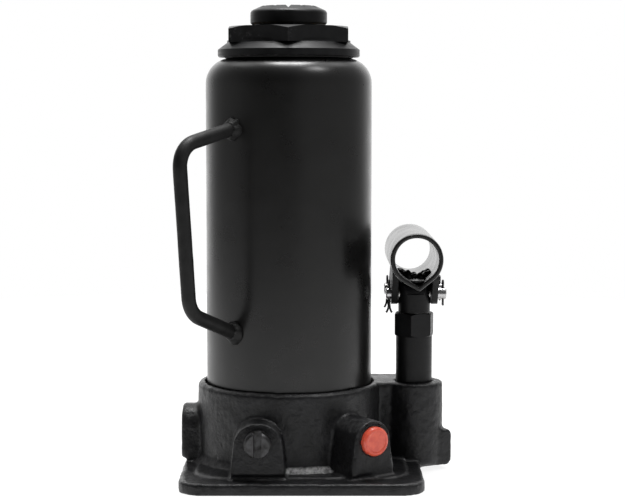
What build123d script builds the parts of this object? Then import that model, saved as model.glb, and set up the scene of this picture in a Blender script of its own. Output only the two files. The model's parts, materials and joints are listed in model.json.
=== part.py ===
from build123d import *
import math
import os

# A hydraulic bottle jack of the 12 tonne class, at rest, in millimetres.
# +Z is up along the ram. The origin is on the underside of the base, under the ram's axis.
# The pump stands at +X, and its lever socket opens towards -Y, the front.

# --- heights along the ram's axis ---
CLOSED_HEIGHT = 230.0
LIFT = 155.0
PLATE_TOP = 5.5
TIER_TOP = 6.4
WELL_FLOOR = 26.0
RESERVOIR_FLOOR = 33.0
GROOVE_FLOOR = 37.0
RING_TOP = 44.3
TANK_TOP = 204.5
NUT_BOTTOM = 205.0
HEX_BOTTOM = 212.0
NUT_TOP = 219.8
RAM_TOP = 220.0
RAM_BOTTOM = 26.1
RAM_HEAD_TOP = 46.0
BUSH_SEAT = RAM_HEAD_TOP + LIFT + 1.0
CYLINDER_TOP = 213.8
WIPER_GROOVE = (215.8, 219.0)
FILLER_Z = 168.0
SPIGOT_BOTTOM = 104.0
SPIGOT_TOP = 113.0
CLIP_GROOVE = (104.6, 105.9)

# --- radii about the ram's axis ---
RAM_RADIUS = 19.0
BORE_RADIUS = 22.5
CYLINDER_RADIUS = 27.0
TANK_RADIUS = 41.0
TANK_WALL = 2.0
RING_RADIUS = 45.4
GROOVE_RADIUS = 42.2
SADDLE_RADIUS = 18.9
SCREW_RADIUS = 13.8
SCREW_BORE_RADIUS = 14.0
NUT_BORE_RADIUS = 26.45
NUT_WAY_RADIUS = RAM_RADIUS + 0.3
NUT_FLATS = 58.0

# --- base ---
PLATE_CENTRE_X = 6.5
PLATE_LENGTH = 116.4
PLATE_WIDTH = 130.0
BOSS_RADIUS = 11.8
BOSS_ARCH_Z = 20.7
BOSS_FOOT_Z = 7.0
BOSS_FOOT_HALF_WIDTH = 12.9
RELEASE_X = -14.0
RELEASE_Z = 23.3
FRONT_FACE_Y = -57.0
SAFETY_RADIUS = 9.6
SAFETY_FOOT_HALF_WIDTH = 11.5
SAFETY_FACE = (40.93, -52.79, 23.5)
SAFETY_ANGLE = 32.0
SIDE_FACE_X = -53.4
SIDE_FLOOR_X = -41.7
PLUG_RADIUS = 6.0
BALL_RADIUS = 3.0
SEAT_RADIUS = 1.5
SEAT_GAP = 0.02
SUCTION_X, SUCTION_Y = 30.4, -12.0
SUCTION_Z = 14.0
OUTLET_X = 12.0
OUTLET_SEAT_Z = 14.0
OUTLET_STEP_Z = 24.5
INLET_SEAT_Z = 22.0
PUMP_WELL_Z = 29.0
RELEASE_SEAT_Y = -26.0
SAFETY_SEAT_DEPTH = 34.7

# --- pump and its lever ---
PUMP_X = 62.5
PUMP_BLOCK_RADIUS = 14.3
PUMP_BLOCK_TOP = 44.0
REAR_BLOCK_TOP = 39.0
PUMP_RADIUS = 9.0
PUMP_HEX_FLATS = 18.0
PUMP_HEX_BOTTOM = 66.6
PUMP_HEX_TOP = 78.3
PLUNGER_RADIUS = 5.97
PLUNGER_HEAD_RADIUS = 7.9
PIN_Z = 87.8
PIN_RADIUS = 3.0
PIN_HOLE_RADIUS = 3.03
PIN_SPACING = 22.0
LINK_FOOT = (17.0, 52.0)
LINK_EYE = (22.68, 87.32)
LINK_EYE_RADIUS = 4.0
LINK_INNER = 3.5
LINK_OUTER = 6.5
EAR_INNER = 8.5
EAR_OUTER = 11.5
PIN_PLAY = 0.9          # both long pins lie this far towards +X in their holes
PIN_END = 15.0
COTTER_REACH = 13.4
FOOT_PIN_END = 8.0
CLIP_REACH = 6.65
CLIP_THICKNESS = 0.8
GLAND_GROOVE = (71.5, 75.0)
SOCKET_X = PUMP_X - 0.7   # welded slightly off the middle of the ears
SOCKET_Z = 107.6
SOCKET_RADIUS = 12.7
SOCKET_WALL = 2.2
SOCKET_FRONT = -35.0
SOCKET_REAR = 33.0
KEEL_REAR = -10.0
KEEL_DROP = 15.4

# --- carrying handle: a bent rod in an upright plane, turned from the front towards -X ---
HANDLE_ROD_RADIUS = 3.4
HANDLE_TURN = 39.7
HANDLE_CORNERS = [(39.5, 170.7), (78.3, 162.3), (71.6, 84.3), (39.5, 71.4)]
HANDLE_BEND_RADIUS = 11.5
BEAD_RADIUS = 5.6
BEAD_LENGTH = 4.2

FROM_BELOW = (Align.CENTER, Align.CENTER, Align.MIN)
PAST = 1.0   # how far a cutting tool runs past the face that it opens


# --- shared shapes ---

def rod(start, end, radius):
    """A round bar, or a drilled hole, between two points."""
    run = Vector(*end) - Vector(*start)
    return Plane(origin=start, z_dir=run) * Cylinder(radius, run.length, align=FROM_BELOW)


def disc(radius, bottom, top, x=0.0, y=0.0):
    """An upright round bar between two heights."""
    return Pos(x, y, bottom) * Cylinder(radius, top - bottom, align=FROM_BELOW)


def ring(inner, outer, bottom, top, x=0.0, y=0.0):
    """An upright flat ring."""
    return disc(outer, bottom, top, x, y) - disc(inner, bottom - 1, top + 1, x, y)


def sleeve(start, end, inner, outer):
    """A ring whose axis runs between two points."""
    run = Vector(*end) - Vector(*start)
    plane = Plane(origin=start, z_dir=run)
    bore = plane * Pos(0, 0, -PAST) * Cylinder(inner, run.length + 2 * PAST, align=FROM_BELOW)
    return rod(start, end, outer) - bore


def turned(corners, rounding=None, x=0.0, y=0.0):
    """A body turned about an upright axis from (radius, height) corners. rounding gives the
    radius at chosen corners by their index."""
    radii = [0.0] * len(corners)
    for index, radius in (rounding or {}).items():
        radii[index] = radius
    outline = FilletPolyline(*corners, radius=radii, close=True)
    return Pos(x, y, 0) * revolve(Plane.XZ * make_face(outline), Axis.Z)


def facing(point, direction):
    """A plane on a vertical face: its normal is direction, and its own Y is up."""
    dx, dy = direction
    return Plane(origin=point, x_dir=(-dy, dx, 0), z_dir=(dx, dy, 0))


def compass(angle):
    """The level direction that is angle degrees round from the front, towards +X."""
    turn = math.radians(angle)
    return (math.sin(turn), -math.cos(turn))


def stepped(point, direction, distance):
    """The point that lies distance along a level direction from point."""
    return (point[0] + direction[0] * distance, point[1] + direction[1] * distance, point[2])


def rounded_slab(length, width, top, corner, edge):
    """A level slab on the ground with rounded corners and a rounded top edge."""
    slab = extrude(RectangleRounded(length, width, corner), top)
    return Pos(PLATE_CENTRE_X, 0, 0) * fillet(slab.faces().sort_by(Axis.Z)[-1].edges(), edge)


def coil(radius, wire, height, turns, plane):
    """A compression spring along a plane's normal."""
    path = Helix(pitch=height / turns, height=height, radius=radius)
    start = Plane(origin=path @ 0, z_dir=path % 0)
    return plane * sweep(start * Circle(wire), path=path, is_frenet=True)


# --- base ---

def arched_boss(point, direction, depth, radius=BOSS_RADIUS, half_width=BOSS_FOOT_HALF_WIDTH):
    """A boss with a round top, a slightly wider foot and a flat, bevelled face, running back into
    the casting. point is the centre of its arch."""
    foot = BOSS_FOOT_Z - point[2]
    outline = make_hull([
        *Circle(radius).edges(),
        *(Pos(0, foot + 2) * Rectangle(2 * half_width, 4)).edges(),
    ])
    boss = extrude(outline, amount=-depth)
    rim = boss.faces().sort_by(Axis.Z)[-1].edges()
    return facing(point, direction) * chamfer(rim, 1.1)


def pump_block():
    """The block beside the ring that carries the pump, with a lower part behind it for the link's
    lug and a valve pad in front."""
    front = Pos(PUMP_X, 0) * Circle(PUMP_BLOCK_RADIUS) + Pos(48, 6.5) * Rectangle(28, 31)
    rear = Pos(PUMP_X, 10) * Circle(PUMP_BLOCK_RADIUS) + Pos(48, 10) * Rectangle(28, 26)
    block = extrude(front, PUMP_BLOCK_TOP - 3.5)
    block = fillet(block.faces().sort_by(Axis.Z)[-1].edges(), 1.5)
    block += extrude(rear, REAR_BLOCK_TOP - 3.5)
    pad = fillet(Box(22, 18, 20).edges().filter_by(Axis.Z), 3)
    pad = Pos(0, 0, -10) * pad
    return Pos(0, 0, 3.5) * block + facing((71.5, -9.4, 11.2), compass(27)) * pad


def link_lug():
    """The upright lug behind the pump that carries the link's lower pin."""
    y, z = LINK_FOOT
    outline = Pos(y, z) * Circle(6.5) + Pos(y, z - 8) * Rectangle(13, 16)
    lug = extrude(Plane.YZ * outline, LINK_INNER - 0.1, both=True)
    return Pos(PUMP_X, 0, 0) * lug


def suction_passages():
    """From the reservoir's floor, along under the pump, and up to the inlet ball."""
    foot = (SUCTION_X, SUCTION_Y, SUCTION_Z)
    return [
        rod((SUCTION_X, SUCTION_Y, SUCTION_Z - 2), (SUCTION_X, SUCTION_Y, RESERVOIR_FLOOR + PAST), 2.0),
        rod(foot, (76.6, 5.55, SUCTION_Z), 2.0),
        disc(SEAT_RADIUS, SUCTION_Z, INLET_SEAT_Z + PAST, PUMP_X),
        disc(4.0, INLET_SEAT_Z, PUMP_WELL_Z + PAST, PUMP_X),
    ]


def delivery_passages():
    """Down from the pump to the outlet ball under the ram."""
    return [
        rod((PUMP_X - 2, 0, INLET_SEAT_Z + 2.5), (OUTLET_X, 0, OUTLET_SEAT_Z - 2.5), 1.5),
        disc(SEAT_RADIUS, OUTLET_SEAT_Z - 2.5, OUTLET_SEAT_Z + PAST, OUTLET_X),
        disc(4.0, OUTLET_SEAT_Z, WELL_FLOOR + PAST, OUTLET_X),
        disc(PLUG_RADIUS + 0.02, OUTLET_STEP_Z, WELL_FLOOR + PAST, OUTLET_X),
    ]


def release_passages():
    """From under the ram, past the release ball, and back to the reservoir."""
    def at(y, z=RELEASE_Z):
        return (RELEASE_X, y, z)

    return [
        rod(at(-11), at(RELEASE_SEAT_Y), SEAT_RADIUS),
        rod(at(-11), at(-11, WELL_FLOOR + PAST), SEAT_RADIUS),
        rod(at(RELEASE_SEAT_Y), at(-33), 3.6),
        rod(at(-30), at(-30, RESERVOIR_FLOOR + PAST), SEAT_RADIUS),
        rod(at(-33), at(FRONT_FACE_Y - 8), 5.0),
    ]


def safety_passages():
    """From under the ram, past the overload valve's ball, and back to the reservoir."""
    seat = safety_point(SAFETY_SEAT_DEPTH)
    under_ram = safety_point(SAFETY_SEAT_DEPTH + 13.5)
    past_ball = safety_point(SAFETY_SEAT_DEPTH - 2.6)
    return [
        rod(SAFETY_FACE, safety_point(3.0), 7.02),
        rod(SAFETY_FACE, safety_point(SAFETY_SEAT_DEPTH - 8.0), 5.0),
        rod(SAFETY_FACE, seat, 3.6),
        rod(seat, under_ram, SEAT_RADIUS),
        rod(under_ram, (*under_ram[:2], WELL_FLOOR + PAST), SEAT_RADIUS),
        rod(past_ball, (*past_ball[:2], RESERVOIR_FLOOR + PAST), 1.2),
    ]


def side_port():
    """The blind port under the side boss's plug."""
    def at(x):
        return (x, 0, BOSS_ARCH_Z)

    return [
        rod(at(SIDE_FACE_X - PAST), at(SIDE_FLOOR_X), PLUG_RADIUS + 0.02),
        rod(at(SIDE_FLOOR_X), at(SIDE_FLOOR_X + 10), 2.0),
    ]


def oil_passages():
    """Every drilled way between the reservoir, the pump, the cylinder and the valves."""
    return [
        *suction_passages(), *delivery_passages(), *release_passages(), *safety_passages(), *side_port(),
    ]


def base_casting():
    """The cast foot: plate, tier, ring, bosses and pump block, with its wells and passages."""
    tier = rounded_slab(103, 109, TIER_TOP, 16, 2.0)
    casting = rounded_slab(PLATE_LENGTH, PLATE_WIDTH, PLATE_TOP, 12, 1.5) + tier
    casting += turned(
        [(0, 0), (48.4, 0), (48.4, TIER_TOP), (RING_RADIUS, TIER_TOP + 3.0), (RING_RADIUS, RING_TOP), (0, RING_TOP)],
        {2: 0.8, 3: 3.0, 4: 2.4},
    )
    casting += arched_boss((RELEASE_X, FRONT_FACE_Y, BOSS_ARCH_Z), compass(0), 24)
    casting += arched_boss(SAFETY_FACE, compass(SAFETY_ANGLE), 26, SAFETY_RADIUS, SAFETY_FOOT_HALF_WIDTH)
    casting += arched_boss((SIDE_FACE_X, 0, BOSS_ARCH_Z), (-1, 0), 18)
    casting += pump_block() + link_lug()
    hollow = extrude(RectangleRounded(90, 94, 12), 3.5)
    casting -= Pos(PLATE_CENTRE_X - 2, 0, 0) * (hollow - Pos(-4.2, 0, 0) * disc(32, -1, 5))
    casting -= disc(GROOVE_RADIUS, GROOVE_FLOOR, RING_TOP + PAST)
    casting -= disc(38.0, RESERVOIR_FLOOR, RING_TOP + PAST)
    casting -= disc(CYLINDER_RADIUS + 0.05, WELL_FLOOR, RESERVOIR_FLOOR + PAST)
    casting -= disc(PUMP_RADIUS + 0.02, PUMP_WELL_Z, PUMP_BLOCK_TOP + PAST, PUMP_X)
    casting -= rod((PUMP_X - 9, *LINK_FOOT), (PUMP_X + 9, *LINK_FOOT), PIN_HOLE_RADIUS)
    for passage in oil_passages():
        casting -= passage
    return casting


# --- tank, cylinder and nut ---

def pressure_cylinder():
    """The thick inner tube that the ram's head runs in, threaded into the nut at its top."""
    bottom = WELL_FLOOR + 1.2
    return turned([
        (BORE_RADIUS, bottom), (CYLINDER_RADIUS, bottom), (CYLINDER_RADIUS, NUT_BOTTOM - 0.5),
        (26.4, NUT_BOTTOM), (26.4, CYLINDER_TOP - 0.8), (25.6, CYLINDER_TOP), (23.5, CYLINDER_TOP),
        (23.5, BUSH_SEAT), (BORE_RADIUS, BUSH_SEAT),
    ])


def reservoir_tank():
    """The drawn outer tank, open below, with a rounded shoulder and a hole for the cylinder."""
    inner = TANK_RADIUS - TANK_WALL
    shell = turned(
        [
            (inner, 38.2), (TANK_RADIUS, 38.2), (TANK_RADIUS, TANK_TOP), (27.3, TANK_TOP),
            (27.3, TANK_TOP - TANK_WALL), (inner, TANK_TOP - TANK_WALL),
        ],
        {2: 12.4, 5: 10.4},
    )
    return shell - rod((0, 30, FILLER_Z), (0, 50, FILLER_Z), 4.5)


def top_nut():
    """The flanged nut that clamps the tank, hexagonal above, with the ram's way through it."""
    shelf = CYLINDER_TOP - 0.8
    flange = turned(
        [
            (NUT_BORE_RADIUS, NUT_BOTTOM), (34.5, NUT_BOTTOM), (35.0, NUT_BOTTOM + 0.5), (35.0, 208.6),
            (30.4, HEX_BOTTOM), (30.4, shelf), (NUT_BORE_RADIUS, shelf),
        ],
        {3: 0.3, 4: 0.9},
    )
    hexagon = RegularPolygon(NUT_FLATS / 2 / math.cos(math.pi / 6), 6, rotation=30)
    hexagon = Pos(0, 0, HEX_BOTTOM) * extrude(hexagon, NUT_TOP - HEX_BOTTOM)
    bevel = turned([(0, 200), (34, 200), (34, NUT_TOP - 1.7), (29.9, NUT_TOP), (0, NUT_TOP)])
    nut = flange + (hexagon & bevel)
    nut -= disc(NUT_BORE_RADIUS, 200, CYLINDER_TOP + 0.2)
    nut -= disc(NUT_WAY_RADIUS, CYLINDER_TOP - PAST, NUT_TOP + PAST)
    return nut - disc(21.5, *WIPER_GROOVE)


def filler_plug():
    """The rubber plug in the filling hole at the back of the tank."""
    head = rod((0, TANK_RADIUS - 1, FILLER_Z), (0, TANK_RADIUS + 2.6, FILLER_Z), 7.5)
    head = fillet(head.faces().sort_by(Axis.Y)[-1].edges(), 1.5)
    neck = rod((0, TANK_RADIUS - 5, FILLER_Z), (0, TANK_RADIUS + 2, FILLER_Z), 4.45)
    return (head - disc(TANK_RADIUS, FILLER_Z - 18, FILLER_Z + 22)) + neck


def carry_handle():
    """The bent rod of the carrying handle, its ends shaped to the tank's wall."""
    outward = (*compass(-HANDLE_TURN), 0)
    plane = Plane(origin=(0, 0, 0), x_dir=outward, z_dir=(*compass(-HANDLE_TURN - 90), 0))
    path = FilletPolyline(*HANDLE_CORNERS, radius=HANDLE_BEND_RADIUS)
    section = Plane(origin=path @ 0, z_dir=path % 0) * Circle(HANDLE_ROD_RADIUS)
    bent = plane * sweep(section, path=path)
    return bent - disc(TANK_RADIUS, 50, 190)


def handle_welds():
    """A tapered weld bead round each end of the carrying handle."""
    beads = []
    outward = compass(-HANDLE_TURN)
    for near, far in (HANDLE_CORNERS[:2], HANDLE_CORNERS[:1:-1]):
        start = Vector(outward[0] * near[0], outward[1] * near[0], near[1])
        end = Vector(outward[0] * far[0], outward[1] * far[0], far[1])
        along = Plane(origin=start, z_dir=end - start)
        bead = along * Cone(BEAD_RADIUS, HANDLE_ROD_RADIUS + 0.3, BEAD_LENGTH, align=FROM_BELOW)
        bead -= along * Cylinder(HANDLE_ROD_RADIUS, 30)
        beads.append(bead - disc(TANK_RADIUS, 50, 190))
    return Compound(children=[piece.solid() for piece in beads])


# --- ram and screw ---

def ram():
    """The lifting ram: a head with a seal groove below, and a deep bore for the screw."""
    head_radius = BORE_RADIUS - 0.06
    body = turned([
        (0, RAM_BOTTOM), (21.4, RAM_BOTTOM), (head_radius, RAM_BOTTOM + 1), (head_radius, 33),
        (18.0, 33), (18.0, 39.5), (head_radius, 39.5), (head_radius, RAM_HEAD_TOP),
        (RAM_RADIUS, RAM_HEAD_TOP + 0.5), (RAM_RADIUS, RAM_TOP - 1), (RAM_RADIUS - 1, RAM_TOP),
        (0, RAM_TOP),
    ])
    bore_top = RAM_TOP + PAST
    bore = [(0, 92), (SCREW_BORE_RADIUS, 100), (SCREW_BORE_RADIUS, bore_top), (0, bore_top)]
    return body - turned(bore)


def extension_screw():
    """The screw in the ram, with a grooved saddle as its head and a spigot at its foot."""
    saddle_bottom = RAM_TOP + 0.7
    dish = CLOSED_HEIGHT - 1.8
    screw = turned(
        [
            (0, SPIGOT_BOTTOM), (8, SPIGOT_BOTTOM), (8, SPIGOT_TOP), (12.5, SPIGOT_TOP),
            (SCREW_RADIUS, SPIGOT_TOP + 1.3), (SCREW_RADIUS, saddle_bottom), (17.9, saddle_bottom),
            (SADDLE_RADIUS, saddle_bottom + 1), (SADDLE_RADIUS, 227.5), (13.4, CLOSED_HEIGHT),
            (9.5, CLOSED_HEIGHT), (8.0, dish), (0, dish),
        ],
        {8: 2.0, 9: 0.8},
    )
    screw -= ring(6.9, 9, *CLIP_GROOVE)
    notch = Pos(14.5, 0, CLOSED_HEIGHT + 0.4) * Rot(45, 0, 0) * Box(14, 2.4, 2.4)
    for step in range(12):
        screw -= Rot(0, 0, 30 * step) * notch
    return screw


def stop_ring_circlip():
    """The open spring clip that holds the stop ring on the screw's spigot."""
    low, high = CLIP_GROOVE
    clip = ring(6.95, 9.8, low + 0.1, high - 0.1)
    return clip - Pos(0, -9, low) * Box(4, 8, 3)


# --- pump ---

def pump_cylinder():
    """The pump's barrel: round below, hexagonal above, with a gland groove near its mouth."""
    hexagon = RegularPolygon(PUMP_HEX_FLATS / 2 / math.cos(math.pi / 6), 6, rotation=18.7)
    flats = Pos(PUMP_X, 0, PUMP_HEX_BOTTOM) * extrude(hexagon, PUMP_HEX_TOP - PUMP_HEX_BOTTOM)
    bevel = turned(
        [
            (0, PUMP_HEX_BOTTOM), (9.1, PUMP_HEX_BOTTOM), (12, PUMP_HEX_BOTTOM + 2.4),
            (12, PUMP_HEX_TOP - 1.8), (9.2, PUMP_HEX_TOP), (0, PUMP_HEX_TOP),
        ],
        x=PUMP_X,
    )
    bottom = PUMP_WELL_Z + 1
    barrel = disc(PUMP_RADIUS, bottom, PUMP_HEX_BOTTOM + 1, PUMP_X) + (flats & bevel)
    barrel -= disc(PLUNGER_RADIUS + 0.06, bottom - PAST, PUMP_HEX_TOP + PAST, PUMP_X)
    return barrel - disc(7.4, *GLAND_GROOVE, PUMP_X)


def pump_plunger():
    """The pump's plunger: a seal groove below, and a drilled round head above."""
    stem = turned(
        [
            (0, 31.5), (PLUNGER_RADIUS - 0.8, 31.5), (PLUNGER_RADIUS, 32.3), (PLUNGER_RADIUS, 34),
            (4.2, 34), (4.2, 38.5), (PLUNGER_RADIUS, 38.5), (PLUNGER_RADIUS, 80.2), (0, 80.2),
        ],
        x=PUMP_X,
    )
    head = disc(PLUNGER_HEAD_RADIUS, PUMP_HEX_TOP + 0.5, PIN_Z, PUMP_X)
    eye = rod((PUMP_X - 8, 0, PIN_Z), (PUMP_X + 8, 0, PIN_Z), 6.4)
    eye &= disc(PLUNGER_HEAD_RADIUS, 70, 100, PUMP_X)
    bore = rod((PUMP_X - 9, 0, PIN_Z), (PUMP_X + 9, 0, PIN_Z), PIN_RADIUS + 0.05)
    return stem + head + eye - bore


def handle_socket():
    """The tube that the pump handle slides into, pinched to a keel along its front part."""
    def teardrop(radius, drop):
        """A circle with two tangents that meet below it."""
        lean = math.acos(radius / drop)
        touch_x, touch_z = radius * math.sin(lean), -radius * math.cos(lean)
        return Circle(radius) + make_face(Polyline(
            (touch_x, touch_z), (0, -drop), (-touch_x, touch_z), (0, 0), close=True))

    inner = SOCKET_RADIUS - SOCKET_WALL
    scale = inner / SOCKET_RADIUS
    at_front = Plane.XZ.offset(-SOCKET_FRONT) * Pos(SOCKET_X, SOCKET_Z)
    keel_run = KEEL_REAR - SOCKET_FRONT
    full_run = SOCKET_REAR - SOCKET_FRONT
    tube = extrude(at_front * Circle(SOCKET_RADIUS), -full_run)
    tube += extrude(at_front * teardrop(SOCKET_RADIUS, KEEL_DROP), -keel_run)
    tube -= extrude(at_front * Circle(inner), -full_run)
    return tube - extrude(at_front * teardrop(inner, KEEL_DROP * scale), -keel_run)


def bracket_ears():
    """The two plates under the socket that take both pins."""
    outline = make_hull([
        *(Pos(0, PIN_Z) * Circle(5.3)).edges(),
        *(Pos(PIN_SPACING, PIN_Z) * Circle(5.3)).edges(),
        *(Pos(-2, SOCKET_Z - 8.6) * Rectangle(24, 6)).edges(),
    ])
    ears = []
    for start in (PUMP_X - EAR_OUTER, PUMP_X + EAR_INNER):
        ear = Pos(start, 0, 0) * extrude(Plane.YZ * outline, EAR_OUTER - EAR_INNER)
        ear -= rod((SOCKET_X, -60, SOCKET_Z), (SOCKET_X, 60, SOCKET_Z), SOCKET_RADIUS)
        for y in (0.0, PIN_SPACING):
            ear -= rod((start - 1, y, PIN_Z), (start + 5, y, PIN_Z), PIN_HOLE_RADIUS)
        ears.append(ear.solid())
    return Compound(children=ears)


def plain_pin(x, y, z, half_length):
    """A plain pin along X with bevelled ends."""
    pin = rod((x - half_length, y, z), (x + half_length, y, z), PIN_RADIUS)
    return chamfer(pin.faces().filter_by(GeomType.PLANE).edges(), 0.5)


def cross_pin(y):
    """A pin under the socket, with a cotter hole near each end."""
    x = PUMP_X + PIN_PLAY
    pin = plain_pin(x, y, PIN_Z, PIN_END)
    for side in (-1, 1):
        pin -= disc(1.0, PIN_Z - 5, PIN_Z + 5, x + side * COTTER_REACH, y)
    return pin


def clip_ring(side, inner, outer):
    """A flat ring round the link's foot pin, just outside one link plate."""
    near = (PUMP_X + side * CLIP_REACH, *LINK_FOOT)
    far = (PUMP_X + side * (CLIP_REACH + CLIP_THICKNESS), *LINK_FOOT)
    return sleeve(near, far, inner, outer)


def link_foot_pin():
    """The pin at the link's foot, with a groove for a clip near each end."""
    pin = plain_pin(PUMP_X, *LINK_FOOT, FOOT_PIN_END)
    return pin - clip_ring(-1, 2.3, 4) - clip_ring(1, 2.3, 4)


def link_foot_clips():
    """The open spring clips in the grooves of the link's foot pin."""
    y, z = LINK_FOOT
    gap = Pos(PUMP_X, y, z + 4) * Box(20, 3.4, 8)
    return Compound(children=[(clip_ring(side, 2.35, 4.9) - gap).solid() for side in (-1, 1)])


def cotter(x, y, legs_turn, legs_end):
    """A split pin: an eye above, a shank through the pin, and two legs below, whose spread is
    turned legs_turn degrees from the YZ plane."""
    pin = disc(0.9, -4.2, 4.2) + Pos(0, 0, 5.0) * Rot(0, 90, 0) * Torus(1.3, 0.7)
    knee = (legs_end - 3.8) * 0.4 - legs_end
    for side in (-1, 1):
        leg = rod((0, side * 0.3, -3.8), (0, side * 0.4, knee), 0.6)
        leg += Pos(0, side * 0.4, knee) * Sphere(0.6)
        leg += rod((0, side * 0.4, knee), (0, side * 1.5, -legs_end), 0.6)
        pin += Rot(0, 0, legs_turn) * leg
    return (Pos(x, y, PIN_Z) * pin).solid()


def pin_cotters():
    """The split pins at both ends of both pins under the socket: long ones at the tank's side."""
    x = PUMP_X + PIN_PLAY
    pairs = ((-1, 70, 9.6), (1, 0, 5.6))
    return Compound(children=[
        cotter(x + side * COTTER_REACH, y, legs_turn, legs_end)
        for y in (0.0, PIN_SPACING) for side, legs_turn, legs_end in pairs
    ])


def pin_washers():
    """The thin washers between the ears and what they straddle, on both pins."""
    washers = []
    for y, inner_face in ((0.0, PLUNGER_HEAD_RADIUS + 0.05), (PIN_SPACING, LINK_OUTER + 0.1)):
        for side in (-1, 1):
            near = (PUMP_X + side * inner_face, y, PIN_Z)
            far = (PUMP_X + side * (EAR_INNER - 0.02), y, PIN_Z)
            washers.append(sleeve(near, far, PIN_RADIUS + 0.05, 5.0).solid())
    return Compound(children=washers)


def fulcrum_spacer():
    """The tube on the fulcrum pin that keeps the link plates apart."""
    reach = LINK_INNER - 0.2
    left, right = ((PUMP_X + side * reach, PIN_SPACING, PIN_Z) for side in (-1, 1))
    return sleeve(left, right, PIN_RADIUS + 0.05, 5.0)


def link_plate(side):
    """One flat plate of the pair that ties the lever to the base, with a clearance eye above."""
    outline = make_hull([
        *(Pos(*LINK_FOOT) * Circle(5.5)).edges(),
        *(Pos(*LINK_EYE) * Circle(6.0)).edges(),
    ])
    outline -= Pos(*LINK_FOOT) * Circle(PIN_HOLE_RADIUS + 0.02)
    outline -= Pos(*LINK_EYE) * Circle(LINK_EYE_RADIUS)
    near = PUMP_X + (LINK_INNER if side > 0 else -LINK_OUTER)
    return Pos(near, 0, 0) * extrude(Plane.YZ * outline, LINK_OUTER - LINK_INNER)


# --- valves ---

def socket_plug():
    """The plug in the side boss, with a hexagon socket in its outer end."""
    outer = (SIDE_FACE_X + 0.4, 0, BOSS_ARCH_Z)
    plug = rod(outer, (SIDE_FLOOR_X - 1.2, 0, BOSS_ARCH_Z), PLUG_RADIUS)
    plug = chamfer(plug.faces().sort_by(Axis.X)[0].edges(), 0.6)
    return plug - facing(outer, (-1, 0)) * extrude(RegularPolygon(3.5, 6), amount=-5)


def release_screw():
    """The release valve's screw, slotted across its head for the pump handle's end."""
    def at(y):
        return (RELEASE_X, y, RELEASE_Z)

    front = FRONT_FACE_Y - 7.4
    standoff = math.sqrt(BALL_RADIUS ** 2 - SEAT_RADIUS ** 2)
    tip = RELEASE_SEAT_Y - standoff - BALL_RADIUS - 2 * SEAT_GAP
    head = rod(at(front), at(FRONT_FACE_Y - 0.4), 6.4)
    head = chamfer(head.faces().sort_by(Axis.Y)[0].edges(), 1.0)
    head -= Pos(*at(front)) * Box(3.6, 9.0, 14)
    shank = rod(at(FRONT_FACE_Y - 1), at(-34), 4.95)
    nose = rod(at(-35), at(tip), 2.6)
    return head + shank + nose - sleeve(at(-40), at(-37.6), 3.6, 6)


def suction_filter():
    """The capped gauze sleeve over the suction port in the reservoir's floor."""
    x, y = SUCTION_X + 1.0, SUCTION_Y - 0.4
    return ring(2.4, 3.4, RESERVOIR_FLOOR, 38.0, x, y) + disc(3.4, 38.0, 38.6, x, y)


def valve_ball(seat, outward):
    """A ball that rests on the edge of its seat, just clear of it."""
    standoff = math.sqrt(BALL_RADIUS ** 2 - SEAT_RADIUS ** 2) + SEAT_GAP
    return Pos(*(Vector(*seat) + Vector(*outward) * standoff)) * Sphere(BALL_RADIUS)


def safety_point(depth):
    """A point on the overload valve's axis, depth below the boss's face."""
    return stepped(SAFETY_FACE, compass(SAFETY_ANGLE + 180), depth)


def safety_cap():
    """The plastic cap over the overload valve, with a softly rounded face."""
    cap = rod(safety_point(2.9), safety_point(-2.8), 6.95)
    rim = cap.faces().sort_by(Axis.Y)[0].edges()
    return fillet(rim, 1.4)


def safety_adjuster():
    """The slotted screw that sets the overload valve's spring."""
    screw = rod(safety_point(3.2), safety_point(SAFETY_SEAT_DEPTH - 21.0), 4.95)
    slot = facing(safety_point(3.2), compass(SAFETY_ANGLE)) * Box(10, 1.6, 3.2)
    return screw - slot


def safety_guide():
    """The cupped button between the overload valve's spring and its ball."""
    rear, front = SAFETY_SEAT_DEPTH - 5.7, SAFETY_SEAT_DEPTH - 7.9
    button = rod(safety_point(front), safety_point(rear), 3.4)
    return button + rod(safety_point(front - 3.1), safety_point(rear - 1), 1.6)


# --- the nodes ---

def seals():
    """The rings of rubber, copper, plastic and bronze that seal or guide something."""
    groove_low, groove_high = WIPER_GROOVE
    gland_low, gland_high = GLAND_GROOVE
    o_ring = [(RELEASE_X, y, RELEASE_Z) for y in (-39.9, -37.7)]
    side_washer = [(x, 0, BOSS_ARCH_Z) for x in (SIDE_FLOOR_X - 1.1, SIDE_FLOOR_X)]
    head_radius = BORE_RADIUS - 0.03
    return {
        "cylinder_gasket": ring(22.8, CYLINDER_RADIUS, WELL_FLOOR, WELL_FLOOR + 1.2),
        "tank_lower_gasket": ring(38.6, 42.1, GROOVE_FLOOR, GROOVE_FLOOR + 1.2),
        "tank_top_gasket": ring(27.3, 31.5, TANK_TOP, NUT_BOTTOM),
        "ram_wiper": ring(RAM_RADIUS + 0.05, 21.4, groove_low + 0.1, groove_high - 0.1),
        "ram_guide_bush": ring(RAM_RADIUS + 0.04, 23.45, BUSH_SEAT + 0.1, CYLINDER_TOP - 0.1),
        "piston_seal": ring(18.05, head_radius, 33.1, 37.0),
        "piston_backup_ring": ring(18.05, head_radius, 37.1, 39.4),
        "pump_washer": ring(2.0, 8.9, PUMP_WELL_Z, PUMP_WELL_Z + 1, PUMP_X),
        "pump_gland_ring": ring(PLUNGER_RADIUS + 0.03, 7.35, gland_low + 0.1, gland_high - 0.1, PUMP_X),
        "plunger_seal": ring(4.25, 6.0, 34.1, 38.4, PUMP_X),
        "release_o_ring": sleeve(*o_ring, 3.65, 4.97),
        "side_port_washer": sleeve(*side_washer, 2.5, 5.9),
    }


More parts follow.
